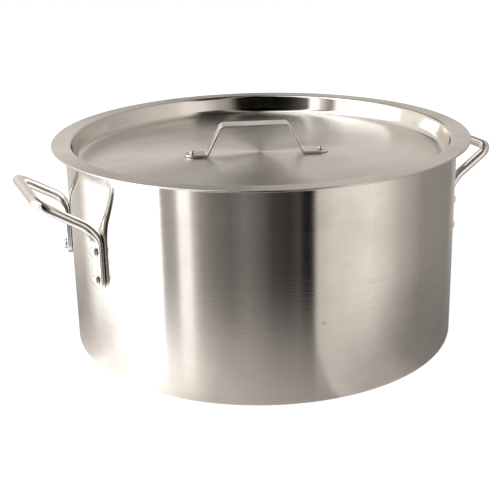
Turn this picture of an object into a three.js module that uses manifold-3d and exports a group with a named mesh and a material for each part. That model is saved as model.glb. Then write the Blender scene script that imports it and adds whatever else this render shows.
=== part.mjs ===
// Brew kettle: a straight-walled aluminium pot with a dished lift-off lid.
//
// Millimetres, +Z up. The origin is the middle of the kettle's flat underside, and +X points
// through the middle of the right side handle. Every sub-part is one named mesh.

import * as THREE from 'three';
import { mergeVertices } from 'three/addons/utils/BufferGeometryUtils.js';
import Module from 'manifold-3d';

const wasm = await Module();
wasm.setup();

// ---------------------------------------------------------------- driving dimensions

const FIT_GAP = 0.3;            // clearance between pieces that touch
const ROUND_SEGMENTS = 72;      // facets round the kettle and the lid

// kettle
const KETTLE_RADIUS = 225;      // outside of the wall
const KETTLE_HEIGHT = 237;      // underside to rim
const WALL = 4;                 // wall and base sheet
const BASE_CORNER = 8;          // outside radius where the wall meets the base
const RIM_EDGE = 1.2;           // softened edge of the rim

// lid
const LID_SHEET = 2;
const FLANGE_RADIUS = 240.5;    // outer edge of the flat flange, which is fully rounded
const LIP_RADIUS = 3.5;         // bend from the flange down into the dish
const DISH_TOP_RADIUS = 218;    // where the lip would meet an upright wall
const DISH_FLOOR_RADIUS = 215;  // where the cove would meet an upright wall
const DISH_SLOPE = 14;          // lean of the dish wall outwards, in degrees
const DISH_COVE = 8;            // bend from the dish wall to its floor
const DISH_DEPTH = 22.3;        // flange top to dish floor

// lid handle, a bent strap
const STRAP_WIDTH = 23;
const STRAP = 2.5;              // strap thickness
const STRAP_RISE = 36;          // dish floor to the top of the grip
const STRAP_GRIP = [-40.5, 37];     // the grip's two corners, along the strap
const STRAP_FEET = [-57.5, 53.5];   // where the two feet start
const STRAP_END_HALF = 84;      // middle to the tip of the foot
const STRAP_BEND = 5;           // inside radius of the strap's bends
const STRAP_TURN = -18;         // degrees from +X
const STRAP_CENTRE = [-7.5, -5.5];  // the handle sits a little off the lid's centre
const LID_RIVET_HALF = 74.5;    // middle to a rivet

// side handles, bent from round rod with flattened feet
const ROD_RADIUS = 5.5;
const ROD_SIDES = 14;
const FOOT_ANGLE = 16.8;        // degrees either side of the handle's middle
const FOOT_END_Z = 105;
const FOOT_BEND_Z = 172;        // corner between the foot and the arm
const FOOT_BEND = 25;           // centreline radius there
const FOOT_HALF_WIDTH = 9;
const FOOT_HALF_THICKNESS = 3;
const FOOT_FLAT_TOP_Z = 156;    // above this the foot swells back into the rod
const FOOT_ROUND_Z = 176;       // and here it is round again
const FOOT_SQUARENESS = 5;      // power of the foot's rounded-rectangle section, 2 is a circle
const GRIP_X = 276;             // centreline of the grip
const GRIP_HALF = 60.5;         // middle to the grip's corner
const GRIP_Z = 205;
const GRIP_BEND = 16;           // centreline radius of the grip's corners

// rivets: shank radius, head radius and height, tail radius and height
const SIDE_RIVET = { shank: 2.5, head: 6, headHeight: 4.4, tail: 4.5, tailHeight: 1.8 };
const LID_RIVET = { shank: 2, head: 3.8, headHeight: 3.2, tail: 3.5, tailHeight: 1.4 };
const SIDE_RIVET_ROWS = { upper: 148, lower: 116 };
const RIVET_SIDES = 12;
const TAIL_GAP = 0.5;           // tail to the kettle's curved inside

// worked out from the above
const FLANGE_UNDER_Z = KETTLE_HEIGHT + FIT_GAP;
const FLANGE_TOP_Z = FLANGE_UNDER_Z + LID_SHEET;
const DISH_FLOOR_Z = FLANGE_TOP_Z - DISH_DEPTH;
const FOOT_BACK_RADIUS = KETTLE_RADIUS + FIT_GAP;
const FOOT_FRONT_RADIUS = FOOT_BACK_RADIUS + 2 * FOOT_HALF_THICKNESS;
const STRAP_UNDER_Z = DISH_FLOOR_Z + FIT_GAP;

// ---------------------------------------------------------------- materials

function metal(name, colour, roughness) {
  const material = new THREE.MeshStandardMaterial({ color: colour, roughness, metalness: 1 });
  material.name = name;
  return material;
}

const spunAluminium = () => metal('spun_aluminium', 0xcfc9c0, 0.34);
const polishedRod = () => metal('polished_rod', 0xd6d2cc, 0.22);
const strapSheet = () => metal('brushed_strap', 0xd2cbc2, 0.3);
const rivetMetal = () => metal('rivet', 0xc4c0ba, 0.28);

// ---------------------------------------------------------------- solids

// The closed mesh of a geometry, with only its positions and shared corners merged.
function toSolid(geometry) {
  const bare = geometry.clone();
  bare.deleteAttribute('normal');
  bare.deleteAttribute('uv');
  const merged = mergeVertices(bare, 1e-4);
  return new wasm.Manifold(new wasm.Mesh({
    numProp: 3,
    vertProperties: new Float32Array(merged.attributes.position.array),
    triVerts: new Uint32Array(merged.index.array),
  }));
}

function toGeometry(solid) {
  const mesh = solid.getMesh();
  const geometry = new THREE.BufferGeometry();
  geometry.setAttribute('position', new THREE.BufferAttribute(mesh.vertProperties, 3));
  geometry.setIndex(new THREE.BufferAttribute(mesh.triVerts, 1));
  geometry.computeVertexNormals();
  return geometry;
}

function drill(geometry, pins) {
  let solid = toSolid(geometry);
  for (const pin of pins) {
    solid = solid.subtract(toSolid(pin));
  }
  return toGeometry(solid);
}

// Points of an arc in a profile, from one angle to another in degrees.
function arc(centreX, centreY, radius, from, to, steps) {
  const points = [];
  for (let i = 0; i <= steps; i += 1) {
    const angle = THREE.MathUtils.degToRad(from + (to - from) * i / steps);
    points.push(new THREE.Vector2(
      centreX + radius * Math.cos(angle),
      centreY + radius * Math.sin(angle),
    ));
  }
  return points;
}

const at = (x, y) => new THREE.Vector2(x, y);

// A profile turned round the Z axis. LatheGeometry turns round Y, so it is stood up.
function turned(profile, segments) {
  const geometry = new THREE.LatheGeometry(profile, segments);
  geometry.rotateX(Math.PI / 2);
  return geometry;
}

// Places a piece made along +Z so that its +Z points outwards from the kettle's axis.
function radialMatrix(degrees, height) {
  const angle = THREE.MathUtils.degToRad(degrees);
  const outward = new THREE.Vector3(Math.cos(angle), Math.sin(angle), 0);
  const sideways = new THREE.Vector3(-Math.sin(angle), Math.cos(angle), 0);
  const matrix = new THREE.Matrix4();
  matrix.makeBasis(sideways, new THREE.Vector3(0, 0, 1), outward);
  matrix.setPosition(0, 0, height);
  return matrix;
}

// Every side rivet: handle side, foot and row, with the angle round the kettle and the height.
const sideRivets = [];
for (const [side, middle, towardsFront] of [['right', 0, -1], ['left', 180, 1]]) {
  for (const [foot, sign] of [['front', towardsFront], ['back', -towardsFront]]) {
    for (const [row, height] of Object.entries(SIDE_RIVET_ROWS)) {
      sideRivets.push({ side, foot, row, angle: middle + sign * FOOT_ANGLE, height });
    }
  }
}

// A straight pin along +Z from one height to another, used to drill holes.
function pin(radius, from, to) {
  const geometry = new THREE.CylinderGeometry(radius, radius, to - from, RIVET_SIDES);
  geometry.rotateX(Math.PI / 2);
  geometry.translate(0, 0, (from + to) / 2);
  return geometry;
}

function sideRivetPins(rivets) {
  return rivets.map(({ angle, height }) => {
    const hole = pin(SIDE_RIVET.shank + FIT_GAP, KETTLE_RADIUS - 20, KETTLE_RADIUS + 20);
    hole.applyMatrix4(radialMatrix(angle, height));
    return hole;
  });
}

// ---------------------------------------------------------------- kettle

function kettleBody() {
  const inside = KETTLE_RADIUS - WALL;
  const insideCorner = BASE_CORNER - WALL + 2;
  const profile = [
    at(0, 0),
    ...arc(KETTLE_RADIUS - BASE_CORNER, BASE_CORNER, BASE_CORNER, -90, 0, 5),
    ...arc(KETTLE_RADIUS - RIM_EDGE, KETTLE_HEIGHT - RIM_EDGE, RIM_EDGE, 0, 90, 2),
    ...arc(inside + RIM_EDGE, KETTLE_HEIGHT - RIM_EDGE, RIM_EDGE, 90, 180, 2),
    ...arc(inside - insideCorner, WALL + insideCorner, insideCorner, 0, -90, 4),
    at(0, WALL),
  ];
  return drill(turned(profile, ROUND_SEGMENTS), sideRivetPins(sideRivets));
}

// ---------------------------------------------------------------- lid

function lidPan() {
  const lipX = DISH_TOP_RADIUS + LIP_RADIUS;
  const lipZ = FLANGE_TOP_Z - LIP_RADIUS;
  const coveX = DISH_FLOOR_RADIUS - DISH_COVE;
  const coveZ = DISH_FLOOR_Z + DISH_COVE;
  const edge = LID_SHEET / 2;
  const profile = [
    at(0, DISH_FLOOR_Z - LID_SHEET),
    ...arc(coveX, coveZ, DISH_COVE + LID_SHEET, -90, -DISH_SLOPE, 4),
    ...arc(lipX, lipZ, LIP_RADIUS - LID_SHEET, 180 - DISH_SLOPE, 90, 3),
    ...arc(FLANGE_RADIUS - edge, FLANGE_UNDER_Z + edge, edge, -90, 90, 4),
    ...arc(lipX, lipZ, LIP_RADIUS, 90, 180 - DISH_SLOPE, 4),
    ...arc(coveX, coveZ, DISH_COVE, -DISH_SLOPE, -90, 4),
    at(0, DISH_FLOOR_Z),
  ];
  const geometry = turned(profile, ROUND_SEGMENTS);
  return drill(geometry, lidRivetPlaces().map(([x, y]) => {
    const hole = pin(LID_RIVET.shank + FIT_GAP, DISH_FLOOR_Z - 10, DISH_FLOOR_Z + 10);
    hole.translate(x, y, 0);
    return hole;
  }));
}

// ---------------------------------------------------------------- lid handle

const strapTurn = THREE.MathUtils.degToRad(STRAP_TURN);

function lidRivetPlaces() {
  return [-1, 1].map((sign) => [
    STRAP_CENTRE[0] + sign * LID_RIVET_HALF * Math.cos(strapTurn),
    STRAP_CENTRE[1] + sign * LID_RIVET_HALF * Math.sin(strapTurn),
  ]);
}

// The side view of the bent strap: its two faces as offset polylines with rounded corners.
function strapOutline() {
  const top = STRAP_RISE - FIT_GAP;
  const corners = [
    [-STRAP_END_HALF - 1, STRAP / 2],
    [STRAP_FEET[0], STRAP / 2],
    [STRAP_GRIP[0], top - STRAP / 2],
    [STRAP_GRIP[1], top - STRAP / 2],
    [STRAP_FEET[1], STRAP / 2],
    [STRAP_END_HALF + 1, STRAP / 2],
  ].map(([x, y]) => at(x, y));
  const upper = offsetLine(corners, STRAP / 2, STRAP_BEND);
  const lower = offsetLine(corners, -STRAP / 2, STRAP_BEND).reverse();
  return new THREE.Shape([...upper, ...lower]);
}

// A polyline moved sideways by a distance, with each corner rounded about the same centre
// whichever side it is moved to, so that the two sides stay a constant thickness apart.
function offsetLine(corners, shift, insideRadius) {
  const middleRadius = insideRadius + STRAP / 2;
  const points = [];
  for (let i = 0; i < corners.length; i += 1) {
    const before = corners[Math.max(i - 1, 0)];
    const here = corners[i];
    const after = corners[Math.min(i + 1, corners.length - 1)];
    if (i === 0 || i === corners.length - 1) {
      const along = after.clone().sub(before).normalize();
      points.push(here.clone().add(at(-along.y, along.x).multiplyScalar(shift)));
      continue;
    }
    const inward = here.clone().sub(before).normalize();
    const outward = after.clone().sub(here).normalize();
    const cross = inward.x * outward.y - inward.y * outward.x;
    const turn = Math.asin(cross);
    const side = Math.sign(turn);
    const tangent = middleRadius * Math.tan(Math.abs(turn) / 2);
    const start = here.clone().sub(inward.clone().multiplyScalar(tangent));
    const normal = at(-inward.y, inward.x).multiplyScalar(side);
    const centre = start.clone().add(normal.clone().multiplyScalar(middleRadius));
    const radius = middleRadius - side * shift;
    const steps = 5;
    for (let k = 0; k <= steps; k += 1) {
      const swing = turn * k / steps;
      const spoke = normal.clone().multiplyScalar(-radius).rotateAround(at(0, 0), swing);
      points.push(centre.clone().add(spoke));
    }
  }
  return points;
}

function lidHandle() {
  const bent = new THREE.ExtrudeGeometry(strapOutline(), {
    depth: STRAP_WIDTH,
    bevelEnabled: false,
  });
  bent.rotateX(Math.PI / 2);
  bent.translate(0, STRAP_WIDTH / 2, 0);
  // the plan view, a long slot shape, rounds off the two feet
  const half = STRAP_WIDTH / 2;
  const plan = new THREE.Shape([
    ...arc(STRAP_END_HALF - half, 0, half, -90, 90, 8),
    ...arc(-STRAP_END_HALF + half, 0, half, 90, 270, 8),
  ]);
  const rounded = new THREE.ExtrudeGeometry(plan, { depth: STRAP_RISE + 10, bevelEnabled: false });
  rounded.translate(0, 0, -5);
  const strap = toGeometry(toSolid(bent).intersect(toSolid(rounded)));
  return drill(strap, [-1, 1].map((sign) => {
    const hole = pin(LID_RIVET.shank + FIT_GAP, -10, 10);
    hole.translate(sign * LID_RIVET_HALF, 0, 0);
    return hole;
  }));
}

// ---------------------------------------------------------------- side handles

// The centreline of half a handle, from the end of the foot to the middle of the grip.
function halfHandlePath() {
  const angle = THREE.MathUtils.degToRad(FOOT_ANGLE);
  const radius = FOOT_BACK_RADIUS + ROD_RADIUS;
  const footX = radius * Math.cos(angle);
  const footY = radius * Math.sin(angle);
  const corners = [
    new THREE.Vector3(footX, footY, FOOT_END_Z),
    new THREE.Vector3(footX, footY, FOOT_BEND_Z),
    new THREE.Vector3(GRIP_X, GRIP_HALF, GRIP_Z),
    new THREE.Vector3(GRIP_X, 0, GRIP_Z),
  ];
  const bends = [null, FOOT_BEND, GRIP_BEND, null];
  return roundedLine(corners, bends);
}

// A 3-D polyline with its corners rounded to the given radii.
function roundedLine(corners, bends) {
  const points = [];
  for (let i = 0; i < corners.length; i += 1) {
    if (bends[i] === null) {
      points.push(corners[i].clone());
      continue;
    }
    const into = corners[i].clone().sub(corners[i - 1]).normalize();
    const out = corners[i + 1].clone().sub(corners[i]).normalize();
    const turn = into.angleTo(out);
    const tangent = bends[i] * Math.tan(turn / 2);
    const start = corners[i].clone().addScaledVector(into, -tangent);
    const toCentre = out.clone().addScaledVector(into, -out.dot(into)).normalize();
    const centre = start.clone().addScaledVector(toCentre, bends[i]);
    const steps = 8;
    for (let k = 0; k <= steps; k += 1) {
      const swing = turn * k / steps;
      points.push(centre.clone()
        .addScaledVector(toCentre, -bends[i] * Math.cos(swing))
        .addScaledVector(into, bends[i] * Math.sin(swing)));
    }
  }
  return points;
}

// How the section changes with height: a flat rounded pad at the foot, a round rod above.
function footSection(point) {
  const blend = THREE.MathUtils.smoothstep(point.z, FOOT_FLAT_TOP_Z, FOOT_ROUND_Z);
  const endDistance = Math.max(point.z - FOOT_END_Z, 0);
  const tip = Math.min(endDistance / FOOT_HALF_WIDTH, 1);
  const roundEnd = Math.sqrt(1 - (1 - tip) ** 2);
  return {
    halfWidth: THREE.MathUtils.lerp(FOOT_HALF_WIDTH * roundEnd, ROD_RADIUS, blend),
    halfThickness: THREE.MathUtils.lerp(FOOT_HALF_THICKNESS, ROD_RADIUS, blend),
    squareness: THREE.MathUtils.lerp(FOOT_SQUARENESS, 2, blend),
  };
}

// One ring of the swept handle, in the plane given by the two axes.
function sectionRing(centre, widthAxis, depthAxis, section) {
  const ring = [];
  for (let i = 0; i < ROD_SIDES; i += 1) {
    const angle = 2 * Math.PI * i / ROD_SIDES;
    const power = 2 / section.squareness;
    const across = Math.sign(Math.cos(angle)) * Math.abs(Math.cos(angle)) ** power;
    const deep = Math.sign(Math.sin(angle)) * Math.abs(Math.sin(angle)) ** power;
    ring.push(centre.clone()
      .addScaledVector(widthAxis, across * section.halfWidth)
      .addScaledVector(depthAxis, deep * section.halfThickness));
  }
  return ring;
}

// Extra stations down the straight foot, closer together at its round end.
function withFootStations(path) {
  const [end, ...rest] = path;
  const stations = [0.05, 0.25, 0.5, 0.8, 1].map((part) => {
    const height = FOOT_END_Z + FOOT_HALF_WIDTH * part;
    return new THREE.Vector3(end.x, end.y, height);
  });
  const lastStation = FOOT_FLAT_TOP_Z - 1;
  return [...stations, new THREE.Vector3(end.x, end.y, lastStation), ...rest];
}

function sideHandle() {
  const path = withFootStations(halfHandlePath());
  const angle = THREE.MathUtils.degToRad(FOOT_ANGLE);
  let depthAxis = new THREE.Vector3(Math.cos(angle), Math.sin(angle), 0);
  const rings = [];
  for (let i = 0; i < path.length; i += 1) {
    const before = path[Math.max(i - 1, 0)];
    const after = path[Math.min(i + 1, path.length - 1)];
    const along = after.clone().sub(before).normalize();
    if (i === path.length - 1) {
      along.set(0, -1, 0);
    }
    // carry the depth axis along the rod without twisting it
    depthAxis = depthAxis.clone().addScaledVector(along, -depthAxis.dot(along)).normalize();
    const widthAxis = along.clone().cross(depthAxis);
    const section = footSection(path[i]);
    const centre = path[i].clone();
    // the foot's back stays in line with the rod's
    centre.addScaledVector(depthAxis, section.halfThickness - ROD_RADIUS);
    rings.push(sectionRing(centre, widthAxis, depthAxis, section));
  }
  const mirrored = rings.slice(0, -1).reverse().map((ring) => (
    ring.map((point) => new THREE.Vector3(point.x, -point.y, point.z))
  ));
  const handle = skin([...rings, ...mirrored]);
  const holes = sideRivets.filter((rivet) => rivet.side === 'right');
  return drill(handle, sideRivetPins(holes));
}

// A closed skin over a row of rings, with a flat fan at each end.
function skin(rings) {
  const sides = rings[0].length;
  const positions = rings.flat().flatMap((point) => point.toArray());
  const index = [];
  for (let i = 0; i + 1 < rings.length; i += 1) {
    for (let k = 0; k < sides; k += 1) {
      const a = i * sides + k;
      const b = i * sides + (k + 1) % sides;
      index.push(a, a + sides, b, b, a + sides, b + sides);
    }
  }
  const last = (rings.length - 1) * sides;
  for (let k = 1; k + 1 < sides; k += 1) {
    index.push(0, k, k + 1);
    index.push(last, last + k + 1, last + k);
  }
  const geometry = new THREE.BufferGeometry();
  geometry.setAttribute('position', new THREE.Float32BufferAttribute(positions, 3));
  geometry.setIndex(index);
  geometry.computeVertexNormals();
  return geometry;
}

// ---------------------------------------------------------------- rivets

// A rivet along +Z: tail at the bottom, shank, and a low domed head at the top.
function rivet(size, tailTop, headBottom) {
  const { shank, head, headHeight, tail, tailHeight } = size;
  const rise = 0.35 * headHeight;
  const profile = [
    at(0, tailTop - tailHeight),
    at(tail * 0.8, tailTop - tailHeight),
    at(tail, tailTop - tailHeight * 0.6),
    at(tail, tailTop),
    at(shank, tailTop),
    at(shank, headBottom),
    at(head, headBottom),
    at(head, headBottom + rise),
  ];
  const steps = 4;
  for (let k = 1; k < steps; k += 1) {
    const angle = Math.PI / 2 * k / steps;
    profile.push(at(head * Math.cos(angle), headBottom + rise + (headHeight - rise) * Math.sin(angle)));
  }
  profile.push(at(0, headBottom + headHeight));
  return turned(profile, RIVET_SIDES);
}

// ---------------------------------------------------------------- assembly

const group = new THREE.Group();

function add(name, geometry, material, parent = group) {
  const mesh = new THREE.Mesh(geometry, material);
  mesh.name = name;
  parent.add(mesh);
  return mesh;
}

add('kettle_body', kettleBody(), spunAluminium());
add('lid_pan', lidPan(), spunAluminium());

const lidHandleGroup = new THREE.Group();
lidHandleGroup.position.set(STRAP_CENTRE[0], STRAP_CENTRE[1], STRAP_UNDER_Z);
lidHandleGroup.rotation.z = strapTurn;
group.add(lidHandleGroup);
add('lid_handle', lidHandle(), strapSheet(), lidHandleGroup);

lidRivetPlaces().forEach(([x, y], i) => {
  const name = ['lid_rivet_left', 'lid_rivet_right'][i];
  const tailTop = DISH_FLOOR_Z - LID_SHEET - FIT_GAP;
  const headBottom = STRAP_UNDER_Z + STRAP + FIT_GAP;
  const mesh = add(name, rivet(LID_RIVET, tailTop, headBottom), rivetMetal());
  mesh.position.set(x, y, 0);
});

add('side_handle_right', sideHandle(), polishedRod());
const leftHandle = add('side_handle_left', sideHandle(), polishedRod());
leftHandle.rotation.z = Math.PI;

for (const { side, foot, row, angle, height } of sideRivets) {
  const tailTop = KETTLE_RADIUS - WALL - TAIL_GAP;
  const headBottom = FOOT_FRONT_RADIUS + FIT_GAP;
  const name = `rivet_${side}_${foot}_${row}`;
  const mesh = add(name, rivet(SIDE_RIVET, tailTop, headBottom), rivetMetal());
  mesh.applyMatrix4(radialMatrix(angle, height));
}

export default group;
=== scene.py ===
"""Brew kettle: the visible surfaces, the materials and the studio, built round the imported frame.

Metres, +Z up. Each faceted CAD node is replaced by a finer piece of the same shape and size.
"""

import math

import bpy
from mathutils import Matrix, Vector


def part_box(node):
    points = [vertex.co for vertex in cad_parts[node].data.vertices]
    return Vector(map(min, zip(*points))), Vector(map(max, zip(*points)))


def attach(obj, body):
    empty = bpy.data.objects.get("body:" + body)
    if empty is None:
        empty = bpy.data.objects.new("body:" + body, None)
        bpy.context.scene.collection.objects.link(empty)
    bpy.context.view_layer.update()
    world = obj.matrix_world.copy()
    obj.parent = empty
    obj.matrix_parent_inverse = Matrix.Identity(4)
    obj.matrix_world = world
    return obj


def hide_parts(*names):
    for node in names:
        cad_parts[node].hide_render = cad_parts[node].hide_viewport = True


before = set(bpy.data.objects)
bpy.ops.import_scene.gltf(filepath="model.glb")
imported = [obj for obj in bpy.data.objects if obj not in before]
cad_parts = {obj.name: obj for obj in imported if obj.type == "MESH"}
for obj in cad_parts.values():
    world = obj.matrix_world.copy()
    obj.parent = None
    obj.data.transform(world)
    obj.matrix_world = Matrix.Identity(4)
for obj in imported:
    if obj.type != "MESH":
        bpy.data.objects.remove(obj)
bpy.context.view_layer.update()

# ---------------------------------------------------------------- dimensions

MM = 0.001
kettle_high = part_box("kettle_body")[1]
lid_low, lid_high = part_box("lid_pan")
strap_low, strap_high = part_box("lid_handle")
handle_low, handle_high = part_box("side_handle_right")

# kettle and lid, both turned about Z
KETTLE_RADIUS = kettle_high.x
KETTLE_HEIGHT = kettle_high.z
WALL = 4 * MM
BASE_CORNER = 8 * MM
INSIDE_CORNER = 6 * MM
RIM_EDGE = 1.2 * MM
LID_SHEET = 2 * MM
FLANGE_RADIUS = lid_high.x
FLANGE_TOP = lid_high.z
FLANGE_UNDER = FLANGE_TOP - LID_SHEET
DISH_UNDER = lid_low.z
DISH_FLOOR = DISH_UNDER + LID_SHEET
LIP_RADIUS = 3.5 * MM
DISH_TOP_RADIUS = 218 * MM
DISH_FLOOR_RADIUS = 215 * MM
DISH_SLOPE = 14          # how far the dish wall leans outwards, in degrees
DISH_COVE = 8 * MM
TURN_SEGMENTS = 256
CORNER_STEPS = 12        # in the arcs of the base corner and the dish cove
CURVE_STEPS = 10         # inside corner, lip and flange edge
EDGE_STEPS = 6           # rim edges and the underside of the lip

# lid handle, a bent strap, in its own frame: along X, flat on Z = 0
FIT_GAP = 0.3 * MM
STRAP = 2.5 * MM
STRAP_HALF_WIDTH = 11.5 * MM
STRAP_UNDER = strap_low.z
STRAP_GRIP_TOP = strap_high.z - strap_low.z
STRAP_GRIP = (-40.5 * MM, 37 * MM)
STRAP_FEET = (-57.5 * MM, 53.5 * MM)
STRAP_END_HALF = 84 * MM
STRAP_BEND = 5 * MM
STRAP_EDGE = 0.6 * MM
STRAP_EDGE_STEPS = 5
STRAP_COLUMNS = 6        # faces across the flat of the strap
STRAP_TIP_STEPS = 14
STRAP_TURN = math.radians(-18)
STRAP_CENTRE = Vector((-7.5 * MM, -5.5 * MM, STRAP_UNDER))
LID_RIVET_HALF = 74.5 * MM

# side handles, bent from round rod with flattened feet
ROD_RADIUS = 5.5 * MM
ROD_SIDES = 40
FOOT_ANGLE = math.radians(16.8)
FOOT_END_Z = 105 * MM
FOOT_BEND_Z = 172 * MM
FOOT_BEND = 25 * MM
FOOT_HALF_WIDTH = 9 * MM
FOOT_HALF_THICKNESS = 3 * MM
FOOT_FLAT_TOP_Z = 156 * MM
FOOT_ROUND_Z = 176 * MM
FOOT_SQUARENESS = 5
FOOT_BACK_RADIUS = KETTLE_RADIUS + FIT_GAP
GRIP_X = handle_high.x - ROD_RADIUS
GRIP_HALF = 60.5 * MM
GRIP_Z = 205 * MM
GRIP_BEND = 16 * MM
TIP_EDGE = 2 * MM
TIP_THICKNESS = 0.45     # of the foot's thickness, at its very end
TIP_STEPS = 18
STATION_STEP = 3 * MM
BEND_STEPS = 16

# rivets
SIDE_RIVET = {"shank": 2.5 * MM, "head": 6 * MM, "head_height": 4.4 * MM, "tail": 4.5 * MM,
              "tail_height": 1.8 * MM}
LID_RIVET = {"shank": 2 * MM, "head": 3.8 * MM, "head_height": 3.2 * MM, "tail": 3.5 * MM,
             "tail_height": 1.4 * MM}
SIDE_RIVET_ROWS = {"upper": 148 * MM, "lower": 116 * MM}
TAIL_GAP = 0.5 * MM
TAIL_FACE = 0.8          # of the tail's radius
TAIL_STRAIGHT = 0.6      # of the tail's height
HEAD_STRAIGHT = 0.35     # of the head's height, below its dome
HEAD_EDGE = 0.3 * MM
DOME_STEPS = 12
RIVET_SEGMENTS = 40

# ---------------------------------------------------------------- camera

CAMERA_DISTANCE = 1.2139
CAMERA_AZIMUTH = math.radians(-112.8)
CAMERA_HEIGHT = 0.525
CAMERA_YAW = math.radians(22.094)
CAMERA_PITCH = math.radians(19.507)
CAMERA_ROLL = math.radians(-1.227)
CAMERA_LENS = 76.7
CAMERA_FAR = 50


def make_camera():
    """The camera, turned by yaw from +Y, then pitched down, then rolled."""
    ahead = Vector((math.sin(CAMERA_YAW) * math.cos(CAMERA_PITCH),
                    math.cos(CAMERA_YAW) * math.cos(CAMERA_PITCH),
                    -math.sin(CAMERA_PITCH)))
    level = Vector((math.cos(CAMERA_YAW), -math.sin(CAMERA_YAW), 0))
    upright = level.cross(ahead)
    right = level * math.cos(CAMERA_ROLL) + upright * math.sin(CAMERA_ROLL)
    up = upright * math.cos(CAMERA_ROLL) - level * math.sin(CAMERA_ROLL)
    data = bpy.data.cameras.new("camera")
    data.lens = CAMERA_LENS
    data.clip_end = CAMERA_FAR
    camera = bpy.data.objects.new("camera", data)
    bpy.context.scene.collection.objects.link(camera)
    place = Matrix((right, up, -ahead)).transposed().to_4x4()
    place.translation = (CAMERA_DISTANCE * math.cos(CAMERA_AZIMUTH),
                         CAMERA_DISTANCE * math.sin(CAMERA_AZIMUTH),
                         CAMERA_HEIGHT)
    camera.matrix_world = place
    bpy.context.scene.camera = camera


make_camera()

# ---------------------------------------------------------------- node trees


def add_node(tree, kind, inputs=None, **settings):
    """A node with its settings, and its inputs set to numbers or linked to sockets."""
    made = tree.nodes.new(kind)
    for name, value in settings.items():
        setattr(made, name, value)
    for name, value in (inputs or {}).items():
        if isinstance(value, bpy.types.NodeSocket):
            tree.links.new(value, made.inputs[name])
        else:
            made.inputs[name].default_value = value
    return made


def maths(tree, operation, first, second=0.0, third=0.0):
    """One sum on numbers or sockets. Only MULTIPLY_ADD has a use for the third."""
    values = {0: first, 1: second}
    if operation == "MULTIPLY_ADD":
        values[2] = third
    return add_node(tree, "ShaderNodeMath", values, operation=operation).outputs[0]


def ramp(tree, value, low, high, to_low=0.0, to_high=1.0):
    """The value eased from to_low at low to to_high at high, and held outside."""
    made = add_node(tree, "ShaderNodeMapRange", {
        "Value": value, "From Min": low, "From Max": high, "To Min": to_low, "To Max": to_high,
    }, interpolation_type="SMOOTHSTEP")
    return made.outputs["Result"]


def noise(tree, vector, scale, detail=2.0, roughness=0.5):
    made = add_node(tree, "ShaderNodeTexNoise", {
        "Vector": vector, "Scale": scale, "Detail": detail, "Roughness": roughness,
    })
    return made.outputs["Fac"]


def stretched(tree, x, y, z, slow, fast):
    """Coordinates that change slowly over x and y and fast over z, for long fine marks."""
    return add_node(tree, "ShaderNodeCombineXYZ", {
        "X": maths(tree, "MULTIPLY", x, slow),
        "Y": maths(tree, "MULTIPLY", y, slow),
        "Z": maths(tree, "MULTIPLY", z, fast),
    }).outputs[0]


def shade(tree, colour, darker, amount):
    """A colour mixed towards a darker one by an amount from 0 to 1."""
    made = add_node(tree, "ShaderNodeMix", {
        "Factor": amount, "A": (*colour, 1), "B": (*darker, 1),
    }, data_type="RGBA")
    return made.outputs["Result"]


# ---------------------------------------------------------------- materials

QUARTER_TURN = 0.25

# Noise scales are in cycles per metre. A pair gives them along the marks, then across them.
FINE_MARKS = (14, 1200)
BROAD_MARKS = (3, 130)
SCRATCHES = (5, 26)
STRAP_MARKS = (22, 1500)
CLOUD_SCALE = 9
SCRATCH_PATCH_SCALE = 14
SPOT_SCALE = 38
STRAP_CLOUD_SCALE = 60
ROD_CLOUD_SCALE = 45
RIVET_CLOUD_SCALE = 120
GRAIN_PER_CLOUD = 12

# The noise levels, or distances in cells, between which each kind of mark comes or goes.
SCRATCH_LINE = (0.003, 0.012)
SCRATCH_PATCH = (0.52, 0.66)
SPOT_CHOICE = (0.86, 0.9)
SPOT_EDGE = (0.05, 0.12)
SMUDGE_PATCH = (0.42, 0.72)
GROOVE_LEVEL = (0.3, 0.7)
STRAP_GROOVE_LEVEL = (0.35, 0.7)
STRAP_PATCH = (0.5, 0.75)
ROD_PATCH = (0.45, 0.75)

# How strong each kind of mark is, from 0 to 1.
SCRATCH_WEAR = 0.22
SPOT_WEAR = 0.6
SMUDGE_WEAR = 0.35
GROOVE_SHADE = 0.08
STRAP_GROOVE_SHADE = 0.3
STRAP_PATCH_SHADE = 0.35
ROD_PATCH_SHADE = 0.4
WEAR_ROUGHNESS = 0.08
WEAR_DEPTH = 0.6

# How much of its colour the darkest metal keeps.
SHEET_DARK = 0.62
BAR_DARK = 0.7

# The grain of the strap and rod: the range of its roughness, and the strap's brushing.
STRAP_ROUGHNESS_SPREAD = 0.2
ROD_ROUGHNESS_SPREAD = 0.16
STRAP_ANISOTROPY = 0.35
STRAP_GROOVES = 0.02 * MM

# The lid is brushed duller on its floor than on the wall round it, and its flange lies between.
LID_FLOOR_ROUGHNESS = 0.24
LID_FLANGE_EXTRA = 0.1
LID_FLOOR_TO = DISH_FLOOR_RADIUS - 6 * MM
LID_FLANGE_FROM = DISH_TOP_RADIUS + 1 * MM
FINISH_BLEND = 3 * MM


def metal(name, colour, roughness, anisotropy, tangent_axis=None):
    """A metal shader on a new material. An axis spreads its highlight across marks that run round it."""
    material = bpy.data.materials.new(name)
    material.use_nodes = True
    tree = material.node_tree
    tree.nodes.clear()
    shader = add_node(tree, "ShaderNodeBsdfPrincipled", {
        "Base Color": (*colour, 1), "Metallic": 1, "Roughness": roughness,
        "Anisotropic": anisotropy,
    })
    if tangent_axis:
        tangent = add_node(tree, "ShaderNodeTangent", direction_type="RADIAL", axis=tangent_axis)
        tree.links.new(tangent.outputs[0], shader.inputs["Tangent"])
        shader.inputs["Anisotropic Rotation"].default_value = QUARTER_TURN
    add_node(tree, "ShaderNodeOutputMaterial", {"Surface": shader.outputs[0]})
    return material, tree, shader


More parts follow.
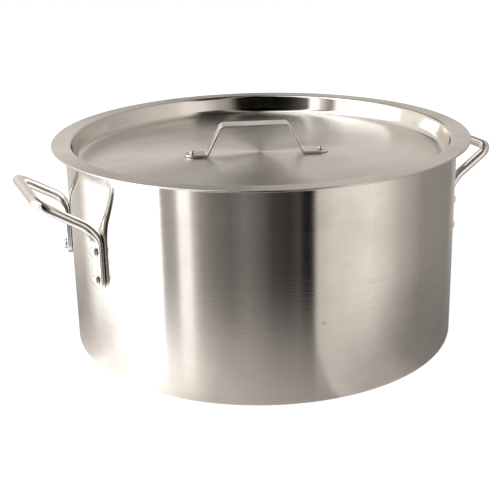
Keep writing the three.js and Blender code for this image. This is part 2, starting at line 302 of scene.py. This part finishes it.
def object_place(tree):
    """The object coordinates as a vector and as x, y and z."""
    place = add_node(tree, "ShaderNodeTexCoord").outputs["Object"]
    split = add_node(tree, "ShaderNodeSeparateXYZ", {0: place})
    return place, split.outputs[0], split.outputs[1], split.outputs[2]


def bumped(tree, shader, height, distance):
    bump = add_node(tree, "ShaderNodeBump", {"Height": height, "Distance": distance})
    tree.links.new(bump.outputs[0], shader.inputs["Normal"])


def darkened(colour, share):
    return tuple(share * part for part in colour)


def add_wear(tree, place, x, y, across):
    """A few long thin scratches, in patches, and small dull spots in a few cells: 0 clean, 1 worn."""
    cracks = add_node(tree, "ShaderNodeTexVoronoi", {
        "Vector": stretched(tree, x, y, across, *SCRATCHES), "Scale": 1, "Randomness": 1,
    }, feature="DISTANCE_TO_EDGE").outputs["Distance"]
    scratch = maths(tree, "MULTIPLY", ramp(tree, cracks, *SCRATCH_LINE, 1, 0),
                    ramp(tree, noise(tree, place, SCRATCH_PATCH_SCALE), *SCRATCH_PATCH))
    cells = add_node(tree, "ShaderNodeTexVoronoi", {
        "Vector": place, "Scale": SPOT_SCALE, "Randomness": 1,
    })
    chance = add_node(tree, "ShaderNodeSeparateColor", {0: cells.outputs["Color"]}).outputs[0]
    chosen = ramp(tree, chance, *SPOT_CHOICE)
    spot = maths(tree, "MULTIPLY", ramp(tree, cells.outputs["Distance"], *SPOT_EDGE, 1, 0), chosen)
    return maths(tree, "MAXIMUM", maths(tree, "MULTIPLY", scratch, SCRATCH_WEAR),
                 maths(tree, "MULTIPLY", spot, SPOT_WEAR))


def lid_roughness(tree, radius, roughness):
    """The dish wall's roughness, raised over the floor and, less, over the flange."""
    floor = ramp(tree, radius, LID_FLOOR_TO, LID_FLOOR_TO + FINISH_BLEND, LID_FLOOR_ROUGHNESS, roughness)
    flange = ramp(tree, radius, LID_FLANGE_FROM, LID_FLANGE_FROM + FINISH_BLEND, 0, LID_FLANGE_EXTRA)
    return maths(tree, "ADD", floor, flange)


def turned_metal(name, colour, roughness, marks, grooves, is_lid=False):
    """Spun and brushed sheet: marks run round Z, closely spaced up the wall and out over the lid."""
    material, tree, shader = metal(name, colour, roughness, 1.0, "Z")
    place, x, y, z = object_place(tree)
    radius = maths(tree, "SQRT", maths(tree, "MULTIPLY_ADD", x, x, maths(tree, "MULTIPLY", y, y)))
    across = maths(tree, "ADD", radius, z)
    fine = noise(tree, stretched(tree, x, y, across, *FINE_MARKS), 1, 1, 0.5)
    broad = noise(tree, stretched(tree, x, y, across, *BROAD_MARKS), 1, 3, 0.6)
    grain = maths(tree, "MULTIPLY_ADD", fine, 0.5, maths(tree, "MULTIPLY", broad, 0.5))
    wear = add_wear(tree, place, x, y, across)
    cloud = noise(tree, place, CLOUD_SCALE, 4, 0.6)
    smudge = ramp(tree, cloud, *SMUDGE_PATCH, 0, SMUDGE_WEAR)
    dull = maths(tree, "MAXIMUM", smudge, wear)
    darker = maths(tree, "ADD", ramp(tree, grain, *GROOVE_LEVEL, GROOVE_SHADE, 0), dull)
    tree.links.new(shade(tree, colour, darkened(colour, SHEET_DARK), darker), shader.inputs["Base Color"])
    base = lid_roughness(tree, radius, roughness) if is_lid else roughness
    rough = maths(tree, "MULTIPLY_ADD", maths(tree, "SUBTRACT", grain, 0.5), 2 * marks, base)
    rough = maths(tree, "MULTIPLY_ADD", dull, WEAR_ROUGHNESS, rough)
    tree.links.new(rough, shader.inputs["Roughness"])
    height = maths(tree, "SUBTRACT", grain, maths(tree, "MULTIPLY", wear, WEAR_DEPTH))
    bumped(tree, shader, height, grooves)
    return material


def strap_metal(name, colour, roughness):
    """Flat bar brushed along its length, so the fine marks are closely spaced across its width."""
    material, tree, shader = metal(name, colour, roughness, STRAP_ANISOTROPY)
    place = object_place(tree)[0]
    turn = add_node(tree, "ShaderNodeVectorRotate", {"Vector": place, "Angle": -STRAP_TURN},
                    rotation_type="Z_AXIS").outputs[0]
    split = add_node(tree, "ShaderNodeSeparateXYZ", {0: turn})
    along = maths(tree, "ADD", split.outputs[0], split.outputs[2])
    fine = noise(tree, stretched(tree, along, along, split.outputs[1], *STRAP_MARKS), 1, 4, 0.6)
    cloud = noise(tree, place, STRAP_CLOUD_SCALE, 3)
    darker = maths(tree, "MAXIMUM", ramp(tree, fine, *STRAP_GROOVE_LEVEL, STRAP_GROOVE_SHADE, 0),
                   ramp(tree, cloud, *STRAP_PATCH, 0, STRAP_PATCH_SHADE))
    tree.links.new(shade(tree, colour, darkened(colour, BAR_DARK), darker), shader.inputs["Base Color"])
    rough = maths(tree, "MULTIPLY_ADD", maths(tree, "SUBTRACT", fine, 0.5), STRAP_ROUGHNESS_SPREAD,
                  roughness)
    tree.links.new(rough, shader.inputs["Roughness"])
    bumped(tree, shader, fine, STRAP_GROOVES)
    return material


def bright_metal(name, colour, roughness, patch_scale, marks):
    """Polished rod or pressed rivet: nearly smooth, with faint handling marks."""
    material, tree, shader = metal(name, colour, roughness, 0.0)
    place = object_place(tree)[0]
    cloud = noise(tree, place, patch_scale, 4, 0.6)
    grain = noise(tree, place, GRAIN_PER_CLOUD * patch_scale, 3, 0.6)
    darker = ramp(tree, cloud, *ROD_PATCH, 0, ROD_PATCH_SHADE)
    tree.links.new(shade(tree, colour, darkened(colour, BAR_DARK), darker), shader.inputs["Base Color"])
    rough = maths(tree, "MULTIPLY_ADD", maths(tree, "SUBTRACT", cloud, 0.5), ROD_ROUGHNESS_SPREAD,
                  roughness)
    tree.links.new(rough, shader.inputs["Roughness"])
    bumped(tree, shader, grain, marks)
    return material


kettle_metal = turned_metal("kettle_aluminium", (0.87, 0.835, 0.79), 0.105, 0.035, 0.11 * MM)
lid_metal = turned_metal("lid_aluminium", (0.84, 0.805, 0.76), 0.1, 0.04, 0.05 * MM, is_lid=True)
strap_finish = strap_metal("strap_aluminium", (0.93, 0.9, 0.85), 0.3)
rod_finish = bright_metal("rod_aluminium", (0.93, 0.91, 0.88), 0.16, ROD_CLOUD_SCALE, 0.01 * MM)
rivet_finish = bright_metal("rivet_aluminium", (0.85, 0.83, 0.8), 0.2, RIVET_CLOUD_SCALE, 0.02 * MM)

# ---------------------------------------------------------------- mesh helpers


def make_piece(name, points, faces, finish, body, material_slot, *nodes):
    """A smooth-shaded mesh that rides on a body and stands for CAD nodes."""
    mesh = bpy.data.meshes.new(name)
    mesh.from_pydata(points, [], faces)
    mesh.validate()
    mesh.shade_smooth()
    mesh.materials.append(finish)
    piece = bpy.data.objects.new(name, mesh)
    bpy.context.scene.collection.objects.link(piece)
    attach(piece, body)
    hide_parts(*nodes)
    return piece


def arc(centre_x, centre_y, radius, start, end, steps):
    """Points of an arc in a profile, from one angle to another in degrees."""
    points = []
    for i in range(steps + 1):
        angle = math.radians(start + (end - start) * i / steps)
        points.append((centre_x + radius * math.cos(angle), centre_y + radius * math.sin(angle)))
    return points


def with_supports(profile, near=1 * MM, step=15 * MM):
    """The profile with points close to the ends of each long straight run, and evenly between."""
    points = [profile[0]]
    for here, after in zip(profile, profile[1:]):
        length = math.dist(here, after)
        if length > 3 * near:
            inner = max(1, round((length - 2 * near) / step))
            for i in range(inner + 1):
                part = (near + (length - 2 * near) * i / inner) / length
                points.append(tuple(a + (b - a) * part for a, b in zip(here, after)))
        points.append(after)
    return points


def lathe(profile, segments):
    """Points and faces of a profile turned round Z. It starts and ends on the axis."""
    points = [Vector((0, 0, profile[0][1]))]
    for radius, height in profile[1:-1]:
        for k in range(segments):
            angle = 2 * math.pi * k / segments
            points.append(Vector((radius * math.cos(angle), radius * math.sin(angle), height)))
    points.append(Vector((0, 0, profile[-1][1])))
    rows = len(profile) - 2
    last = len(points) - 1
    faces = []
    for k in range(segments):
        after = (k + 1) % segments
        faces.append((0, 1 + after, 1 + k))
        for row in range(rows - 1):
            low = 1 + row * segments
            high = low + segments
            faces.append((low + k, low + after, high + after, high + k))
        top = 1 + (rows - 1) * segments
        faces.append((top + k, top + after, last))
    return points, faces


def radial_matrix(angle, height):
    """Stands a piece made along +Z so that its +Z points outwards from the kettle's axis."""
    outward = Vector((math.cos(angle), math.sin(angle), 0))
    sideways = Vector((-math.sin(angle), math.cos(angle), 0))
    matrix = Matrix((sideways, Vector((0, 0, 1)), outward)).transposed().to_4x4()
    matrix.translation = (0, 0, height)
    return matrix


def skin(rings):
    """Points and faces of a closed skin over a row of rings, with a flat face at each end."""
    sides = len(rings[0])
    points = [p for ring in rings for p in ring]
    faces = []
    for i in range(len(rings) - 1):
        for k in range(sides):
            a = i * sides + k
            b = i * sides + (k + 1) % sides
            faces.append((a, a + sides, b + sides, b))
    last = (len(rings) - 1) * sides
    faces.append(tuple(range(sides)))
    faces.append(tuple(reversed(range(last, last + sides))))
    return points, faces


def rounded_line(corners, bends):
    """A 3-D polyline with rounded corners, and stations a few millimetres apart on its straights."""
    points = []
    for i, corner in enumerate(corners):
        if bends[i] is None:
            points.append(corner.copy())
            continue
        into = (corner - corners[i - 1]).normalized()
        out = (corners[i + 1] - corner).normalized()
        turn = into.angle(out)
        start = corner - into * bends[i] * math.tan(turn / 2)
        to_centre = (out - into * out.dot(into)).normalized()
        centre = start + to_centre * bends[i]
        for k in range(BEND_STEPS + 1):
            swing = turn * k / BEND_STEPS
            points.append(centre - to_centre * bends[i] * math.cos(swing)
                          + into * bends[i] * math.sin(swing))
    line = [points[0]]
    for here, after in zip(points, points[1:]):
        steps = max(1, round((after - here).length / STATION_STEP))
        line += [here.lerp(after, k / steps) for k in range(1, steps + 1)]
    return line


# ---------------------------------------------------------------- kettle and lid


def make_kettle():
    """The pot's shell, from the middle of its base out, up, over the rim and down inside."""
    inside = KETTLE_RADIUS - WALL
    profile = with_supports([
        (0, 0),
        *arc(KETTLE_RADIUS - BASE_CORNER, BASE_CORNER, BASE_CORNER, -90, 0, CORNER_STEPS),
        *arc(KETTLE_RADIUS - RIM_EDGE, KETTLE_HEIGHT - RIM_EDGE, RIM_EDGE, 0, 90, EDGE_STEPS),
        *arc(inside + RIM_EDGE, KETTLE_HEIGHT - RIM_EDGE, RIM_EDGE, 90, 180, EDGE_STEPS),
        *arc(inside - INSIDE_CORNER, WALL + INSIDE_CORNER, INSIDE_CORNER, 0, -90, CURVE_STEPS),
        (0, WALL),
    ])
    make_piece("kettle_shell", *lathe(profile, TURN_SEGMENTS), kettle_metal, "kettle",
               "spun_aluminium", "kettle_body")


def make_lid():
    """The lid's sheet, from the middle of its underside out to the flange and back on top."""
    lip_x = DISH_TOP_RADIUS + LIP_RADIUS
    lip_z = FLANGE_TOP - LIP_RADIUS
    cove_x = DISH_FLOOR_RADIUS - DISH_COVE
    cove_z = DISH_FLOOR + DISH_COVE
    edge = LID_SHEET / 2
    profile = with_supports([
        (0, DISH_UNDER),
        *arc(cove_x, cove_z, DISH_COVE + LID_SHEET, -90, -DISH_SLOPE, CORNER_STEPS),
        *arc(lip_x, lip_z, LIP_RADIUS - LID_SHEET, 180 - DISH_SLOPE, 90, EDGE_STEPS),
        *arc(FLANGE_RADIUS - edge, FLANGE_UNDER + edge, edge, -90, 90, CURVE_STEPS),
        *arc(lip_x, lip_z, LIP_RADIUS, 90, 180 - DISH_SLOPE, CURVE_STEPS),
        *arc(cove_x, cove_z, DISH_COVE, -DISH_SLOPE, -90, CORNER_STEPS),
        (0, DISH_FLOOR),
    ])
    make_piece("lid_shell", *lathe(profile, TURN_SEGMENTS), lid_metal, "lid",
               "lid_aluminium", "lid_pan")


make_kettle()
make_lid()

# ---------------------------------------------------------------- lid handle


def strap_stations():
    """Places along the strap's middle, with its slope there and, in the round ends, an angle."""
    foot_z = STRAP / 2
    grip_z = STRAP_GRIP_TOP - STRAP / 2
    end = STRAP_END_HALF - STRAP_HALF_WIDTH
    line = rounded_line([
        Vector((-end, 0, foot_z)),
        Vector((STRAP_FEET[0], 0, foot_z)),
        Vector((STRAP_GRIP[0], 0, grip_z)),
        Vector((STRAP_GRIP[1], 0, grip_z)),
        Vector((STRAP_FEET[1], 0, foot_z)),
        Vector((end, 0, foot_z)),
    ], [None] + [STRAP_BEND + STRAP / 2] * 4 + [None])
    stations = []
    for i, place in enumerate(line):
        along = line[min(i + 1, len(line) - 1)] - line[max(i - 1, 0)]
        stations.append((place, math.atan2(along.z, along.x), 0))
    tips = [math.pi / 2 * i / STRAP_TIP_STEPS for i in range(1, STRAP_TIP_STEPS)]
    left = [(line[0], 0, -tip) for tip in reversed(tips)]
    right = [(line[-1], 0, tip) for tip in tips]
    return left + stations + right


def strap_row(station, inset, rise):
    """The two edge points of the strap at a station, pulled in by inset and moved out of its middle."""
    place, slope, tip = station
    reach = STRAP_HALF_WIDTH - inset
    x = place.x - math.sin(slope) * rise + reach * math.sin(tip)
    z = place.z + math.cos(slope) * rise
    across = reach * math.cos(tip)
    return Vector((x, -across, z)), Vector((x, across, z))


def make_strap():
    """Each ring goes round the strap's section, and the outer ones close its half-round ends."""
    layers = []
    for i in range(STRAP_EDGE_STEPS + 1):
        angle = math.pi / 2 * i / STRAP_EDGE_STEPS
        layers.append((STRAP_EDGE * (1 - math.sin(angle)),
                       STRAP / 2 - STRAP_EDGE * (1 - math.cos(angle))))
    layers += [(inset, -rise) for inset, rise in reversed(layers)]
    shares = [i / STRAP_COLUMNS for i in range(1, STRAP_COLUMNS)]
    rings = []
    for station in strap_stations():
        rows = [strap_row(station, inset, rise) for inset, rise in layers]
        near = [row[0] for row in rows]
        far = [row[1] for row in rows]
        top = [near[0].lerp(far[0], share) for share in shares]
        under = [far[-1].lerp(near[-1], share) for share in shares]
        rings.append([*reversed(near), *top, *far, *under])
    points, faces = skin(rings)
    place = Matrix.Translation(STRAP_CENTRE) @ Matrix.Rotation(STRAP_TURN, 4, "Z")
    make_piece("lid_strap", [place @ p for p in points], faces, strap_finish, "lid",
               "strap_aluminium", "lid_handle")


make_strap()

# ---------------------------------------------------------------- side handles


def half_handle_line():
    """The centreline of half a handle, from the end of the foot to the middle of the grip."""
    radius = FOOT_BACK_RADIUS + ROD_RADIUS
    foot_x = radius * math.cos(FOOT_ANGLE)
    foot_y = radius * math.sin(FOOT_ANGLE)
    line = rounded_line([
        Vector((foot_x, foot_y, FOOT_END_Z + FOOT_HALF_WIDTH)),
        Vector((foot_x, foot_y, FOOT_BEND_Z)),
        Vector((GRIP_X, GRIP_HALF, GRIP_Z)),
        Vector((GRIP_X, 0, GRIP_Z)),
    ], [None, FOOT_BEND, GRIP_BEND, None])
    tip = []
    for i in range(1, TIP_STEPS):
        drop = FOOT_HALF_WIDTH * math.cos(math.pi / 2 * i / TIP_STEPS)
        tip.append(Vector((foot_x, foot_y, FOOT_END_Z + FOOT_HALF_WIDTH - drop)))
    return tip + line


def smoothstep(value, low, high):
    """Eased from 0 at low to 1 at high."""
    part = min(max((value - low) / (high - low), 0), 1)
    return part * part * (3 - 2 * part)


def foot_section(height):
    """Half width, half thickness and squareness: a flat pad at the foot and a round rod above."""
    blend = smoothstep(height, FOOT_FLAT_TOP_Z, FOOT_ROUND_Z)
    from_end = height - FOOT_END_Z
    tip = min(from_end / FOOT_HALF_WIDTH, 1)
    thin = min(from_end / TIP_EDGE, 1)
    half_width = FOOT_HALF_WIDTH * math.sqrt(1 - (1 - tip) ** 2)
    thickness_share = TIP_THICKNESS + (1 - TIP_THICKNESS) * math.sqrt(1 - (1 - thin) ** 2)
    half_thickness = FOOT_HALF_THICKNESS * thickness_share
    return (half_width + (ROD_RADIUS - half_width) * blend,
            half_thickness + (ROD_RADIUS - half_thickness) * blend,
            FOOT_SQUARENESS + (2 - FOOT_SQUARENESS) * blend)


def signed_power(value, power):
    return math.copysign(abs(value) ** power, value)


def handle_rings():
    """Rings round half a handle's centreline, then the same rings mirrored for its other half."""
    line = half_handle_line()
    depth = Vector((math.cos(FOOT_ANGLE), math.sin(FOOT_ANGLE), 0))
    rings = []
    for i, place in enumerate(line):
        along = (line[min(i + 1, len(line) - 1)] - line[max(i - 1, 0)]).normalized()
        if i == len(line) - 1:
            along = Vector((0, -1, 0))
        # the depth axis is carried along the rod without twisting it
        depth = (depth - along * depth.dot(along)).normalized()
        width = along.cross(depth)
        half_width, half_thickness, squareness = foot_section(place.z)
        pad_middle = FOOT_HALF_THICKNESS + (ROD_RADIUS - FOOT_HALF_THICKNESS) * smoothstep(
            place.z, FOOT_FLAT_TOP_Z, FOOT_ROUND_Z)
        centre = place + depth * (pad_middle - ROD_RADIUS)
        ring = []
        for k in range(ROD_SIDES):
            angle = 2 * math.pi * k / ROD_SIDES
            ring.append(centre
                        + width * half_width * signed_power(math.cos(angle), 2 / squareness)
                        + depth * half_thickness * signed_power(math.sin(angle), 2 / squareness))
        rings.append(ring)
    mirrored = [[Vector((p.x, -p.y, p.z)) for p in ring] for ring in reversed(rings[:-1])]
    return rings + mirrored


def make_side_handles():
    """The right handle, and the same one turned half way round for the left."""
    points, faces = skin(handle_rings())
    for side, half_turns in (("right", 0), ("left", 1)):
        turn = Matrix.Rotation(math.pi * half_turns, 4, "Z")
        make_piece(f"{side}_rod", [turn @ p for p in points], faces, rod_finish, "kettle",
                   "rod_aluminium", f"side_handle_{side}")


make_side_handles()

# ---------------------------------------------------------------- rivets


def rivet_profile(size, tail_top, head_bottom):
    """A rivet along +Z: tail at the bottom, shank, and a domed head at the top."""
    rise = HEAD_STRAIGHT * size["head_height"]
    dome = size["head_height"] - rise
    profile = [
        (0, tail_top - size["tail_height"]),
        (size["tail"] * TAIL_FACE, tail_top - size["tail_height"]),
        (size["tail"], tail_top - size["tail_height"] * TAIL_STRAIGHT),
        (size["tail"], tail_top),
        (size["shank"], tail_top),
        (size["shank"], head_bottom),
        (size["head"] - HEAD_EDGE, head_bottom),
        (size["head"], head_bottom + HEAD_EDGE),
    ]
    for k in range(DOME_STEPS):
        angle = math.pi / 2 * k / DOME_STEPS
        profile.append((size["head"] * math.cos(angle), head_bottom + rise + dome * math.sin(angle)))
    profile.append((0, head_bottom + size["head_height"]))
    return with_supports(profile, 0.15 * MM, 2 * MM)


def make_side_rivets():
    """Two rivets, one above the other, through each foot of each side handle."""
    tail_top = KETTLE_RADIUS - WALL - TAIL_GAP
    head_bottom = FOOT_BACK_RADIUS + 2 * FOOT_HALF_THICKNESS + FIT_GAP
    points, faces = lathe(rivet_profile(SIDE_RIVET, tail_top, head_bottom), RIVET_SEGMENTS)
    for side, middle, towards_front in (("right", 0, -1), ("left", math.pi, 1)):
        for foot, sign in (("front", towards_front), ("back", -towards_front)):
            for row, height in SIDE_RIVET_ROWS.items():
                place = radial_matrix(middle + sign * FOOT_ANGLE, height)
                make_piece(f"side_rivet_{side}_{foot}_{row}", [place @ p for p in points], faces,
                           rivet_finish, "kettle", "rivet_aluminium", f"rivet_{side}_{foot}_{row}")


def make_strap_rivets():
    """One rivet through each foot of the strap and the lid under it."""
    tail_top = DISH_UNDER - FIT_GAP
    head_bottom = STRAP_UNDER + STRAP + FIT_GAP
    points, faces = lathe(rivet_profile(LID_RIVET, tail_top, head_bottom), RIVET_SEGMENTS)
    for side, sign in (("left", -1), ("right", 1)):
        place = Matrix.Translation((
            STRAP_CENTRE.x + sign * LID_RIVET_HALF * math.cos(STRAP_TURN),
            STRAP_CENTRE.y + sign * LID_RIVET_HALF * math.sin(STRAP_TURN),
            0,
        ))
        make_piece(f"strap_rivet_{side}", [place @ p for p in points], faces, rivet_finish,
                   "lid", "rivet_aluminium", f"lid_rivet_{side}")


make_side_rivets()
make_strap_rivets()

# ---------------------------------------------------------------- studio

# What stands round the set towards each azimuth, in degrees from +X, and how bright it is:
# first below the horizon, as the wall mirrors it, then above, as the lid does. The wall is a
# mirror bent one way, so each light here stands on it as an upright stripe. The levels were
# listed and tuned until the metal's stripes came close to the brightness read off the photo.
SET_LOW = [
    (-180, 1.8), (-173, 1.8),                                # large soft box on the left
    (-171.5, 0.36), (-165, 0.4), (-162, 0.6),
    (-160.5, 1.28), (-154.5, 1.28),                          # narrow strip light
    (-152, 0.6), (-148, 0.31), (-141, 0.2), (-131, 0.14), (-122.5, 0.19), (-114, 0.125),
    (-107, 0.05), (-98, 0.03), (-94.5, 0.04), (-92.4, 0.065), (-90.8, 0.03),
    (-88.6, 0.003), (-83.5, 0),                              # dark side, with the camera
    (-82, 0.56), (-72, 0.76), (-62, 0.84), (-48, 0.92),      # pale reflector on the right
    (-40, 0.8), (-26, 0.5), (-8, 0.29), (30, 0.26), (54, 0.66),
    (116, 0.66), (131, 1.8), (180, 1.8),
]
SET_HIGH = [
    (-180, 2.6), (-175, 2.4), (-171, 1.5), (-165, 1.25),
    (-162.5, 0.3), (-159.5, 0.33), (-154, 0.85), (-151, 1.8), (-147.5, 1.6),
    (-145.5, 0.15), (-139, 0.06), (-133, 0.01), (-127, 0), (-98.5, 0),
    (-95.5, 0.1), (-92, 0.32), (-84, 0.55), (-74, 0.95), (-62, 0.92), (-54, 0.72),
    (-20, 0.54), (2, 0.46), (30, 0.4), (44, 0.46), (56, 0.62), (84, 0.74), (112, 0.85),
    (134, 0.95), (144, 1.1), (148, 2.6), (180, 2.6),
]

# The two blend over a few degrees of height.
HORIZON_LOW = math.sin(math.radians(-6))
HORIZON_HIGH = math.sin(math.radians(6))

# Dim light is warm, and bright light is very slightly cool.
DIM_TINT = (1, 0.93, 0.87)
LIT_TINT = (1, 1.02, 1.03)
TINT_FROM = 0.8
TINT_TO = 1.7

# A dark gap between the overhead soft boxes, where a direction's x is near the middle value.
# It fades in with height, and draws the dark fan on the lid.
GAP_MIDDLE = 0.2
GAP_NARROW = 0.06
GAP_WIDE = 0.25
GAP_FROM = math.sin(math.radians(14))
GAP_TO = math.sin(math.radians(27))
GAP_LEVEL = 0.06

# The table is white to the eye. The metal mirrors it only close to the kettle, where its glow is
# painted light and shade: bright towards the soft box on the left (-X) and dim on the other side.
TABLE_SIZE = 6
TABLE_DROP = 0.2 * MM
TABLE_GLOW = 0.93
TABLE_PAPER = 0.3
TABLE_NEAR = 0.19
TABLE_FAR = 0.6
TABLE_PAINTED_LEVELS = [
    (-180, 0.85), (-173, 1.25), (-150, 1.35), (-141, 1.12), (-134, 0.84), (-128, 0.62),
    (-120, 0.5), (-108, 0.4), (-97, 0.34), (-93, 0.34), (-91, 0.58), (-80, 0.47), (-70, 0.4),
    (-58, 0.24), (-40, 0.2), (150, 0.35), (170, 0.6), (180, 0.85),
]


def round_the_set(tree, towards, levels):
    """The level at each azimuth of a direction, straight between the given ones."""
    split = add_node(tree, "ShaderNodeSeparateXYZ", {0: towards})
    azimuth = maths(tree, "ARCTAN2", split.outputs[1], split.outputs[0])
    share = maths(tree, "MULTIPLY_ADD", azimuth, 1 / (2 * math.pi), 0.5)
    brightest = max(level for _, level in levels)
    made = add_node(tree, "ShaderNodeValToRGB", {0: share})
    stops = made.color_ramp.elements
    while len(stops) < len(levels):
        stops.new(1)
    for stop, (angle, level) in zip(stops, levels):
        stop.position = angle / 360 + 0.5
        stop.color = (level / brightest,) * 3 + (1,)
    return maths(tree, "MULTIPLY", made.outputs[0], brightest)


def mix_numbers(tree, factor, first, second):
    """The first number where the factor is 0, the second where it is 1."""
    return add_node(tree, "ShaderNodeMix", {0: factor, "A": first, "B": second}).outputs["Result"]


def tint_for(tree, level):
    return shade(tree, DIM_TINT, LIT_TINT, ramp(tree, level, TINT_FROM, TINT_TO))


def make_studio():
    """The lights round the set. The camera itself sees plain white there."""
    world = bpy.data.worlds.new("studio")
    world.use_nodes = True
    bpy.context.scene.world = world
    tree = world.node_tree
    tree.nodes.clear()
    towards = add_node(tree, "ShaderNodeTexCoord").outputs["Generated"]
    split = add_node(tree, "ShaderNodeSeparateXYZ", {0: towards})
    sideways = split.outputs[0]
    rise = split.outputs[2]
    level = mix_numbers(tree, ramp(tree, rise, HORIZON_LOW, HORIZON_HIGH),
                        round_the_set(tree, towards, SET_LOW),
                        round_the_set(tree, towards, SET_HIGH))
    off_middle = maths(tree, "ABSOLUTE", maths(tree, "SUBTRACT", sideways, GAP_MIDDLE))
    beside = ramp(tree, off_middle, GAP_NARROW, GAP_WIDE, 1, 0)
    gap = maths(tree, "MULTIPLY", beside, ramp(tree, rise, GAP_FROM, GAP_TO))
    lit = maths(tree, "MULTIPLY", level, ramp(tree, gap, 0, 1, 1, GAP_LEVEL))
    tinted = add_node(tree, "ShaderNodeVectorMath", {0: lit, 1: tint_for(tree, level)},
                      operation="MULTIPLY")
    seen = add_node(tree, "ShaderNodeLightPath").outputs["Is Camera Ray"]
    colour = add_node(tree, "ShaderNodeMix", {
        "Factor": seen, "A": tinted.outputs[0], "B": (1, 1, 1, 1),
    }, data_type="RGBA")
    background = add_node(tree, "ShaderNodeBackground", {"Color": colour.outputs["Result"]})
    add_node(tree, "ShaderNodeOutputWorld", {"Surface": background.outputs[0]})


def make_table():
    """A white sheet that glows, and that reflections and shadows see near the kettle as a dimmer glow of
    painted light and shade.
    """
    half = TABLE_SIZE / 2
    mesh = bpy.data.meshes.new("table")
    mesh.from_pydata([(-half, -half, 0), (half, -half, 0), (half, half, 0), (-half, half, 0)],
                     [], [(0, 1, 2, 3)])
    table = bpy.data.objects.new("table", mesh)
    table.location.z = -TABLE_DROP
    bpy.context.scene.collection.objects.link(table)
    material = bpy.data.materials.new("table_white_and_painted_glow")
    material.use_nodes = True
    tree = material.node_tree
    tree.nodes.clear()
    glow = add_node(tree, "ShaderNodeEmission", {"Color": (1, 1, 1, 1), "Strength": TABLE_GLOW})
    paper = add_node(tree, "ShaderNodeBsdfDiffuse", {"Color": (TABLE_PAPER,) * 3 + (1,)})
    sheet = add_node(tree, "ShaderNodeAddShader", {0: glow.outputs[0], 1: paper.outputs[0]})
    place = add_node(tree, "ShaderNodeTexCoord").outputs["Object"]
    distance = add_node(tree, "ShaderNodeVectorMath", {0: place}, operation="LENGTH").outputs["Value"]
    away = ramp(tree, distance, TABLE_NEAR, TABLE_FAR)
    # painted light and shade on the table: its glow by azimuth, bright towards the soft box and dim away
    # from it
    level = round_the_set(tree, place, TABLE_PAINTED_LEVELS)
    painted_reflection = add_node(tree, "ShaderNodeEmission", {"Color": tint_for(tree, level), "Strength": level})
    clear = add_node(tree, "ShaderNodeBsdfTransparent")
    # the painted reflection near the kettle, and clear farther out, for reflections and shadows
    mirrored = add_node(tree, "ShaderNodeMixShader", {0: away, 1: painted_reflection.outputs[0], 2: clear.outputs[0]})
    path = add_node(tree, "ShaderNodeLightPath").outputs
    by_metal = maths(tree, "MAXIMUM", path["Is Glossy Ray"], path["Is Shadow Ray"])
    both = add_node(tree, "ShaderNodeMixShader", {0: by_metal, 1: sheet.outputs[0], 2: mirrored.outputs[0]})
    add_node(tree, "ShaderNodeOutputMaterial", {"Surface": both.outputs[0]})
    mesh.materials.append(material)


make_studio()
make_table()
bpy.context.scene.view_settings.view_transform = "Standard"
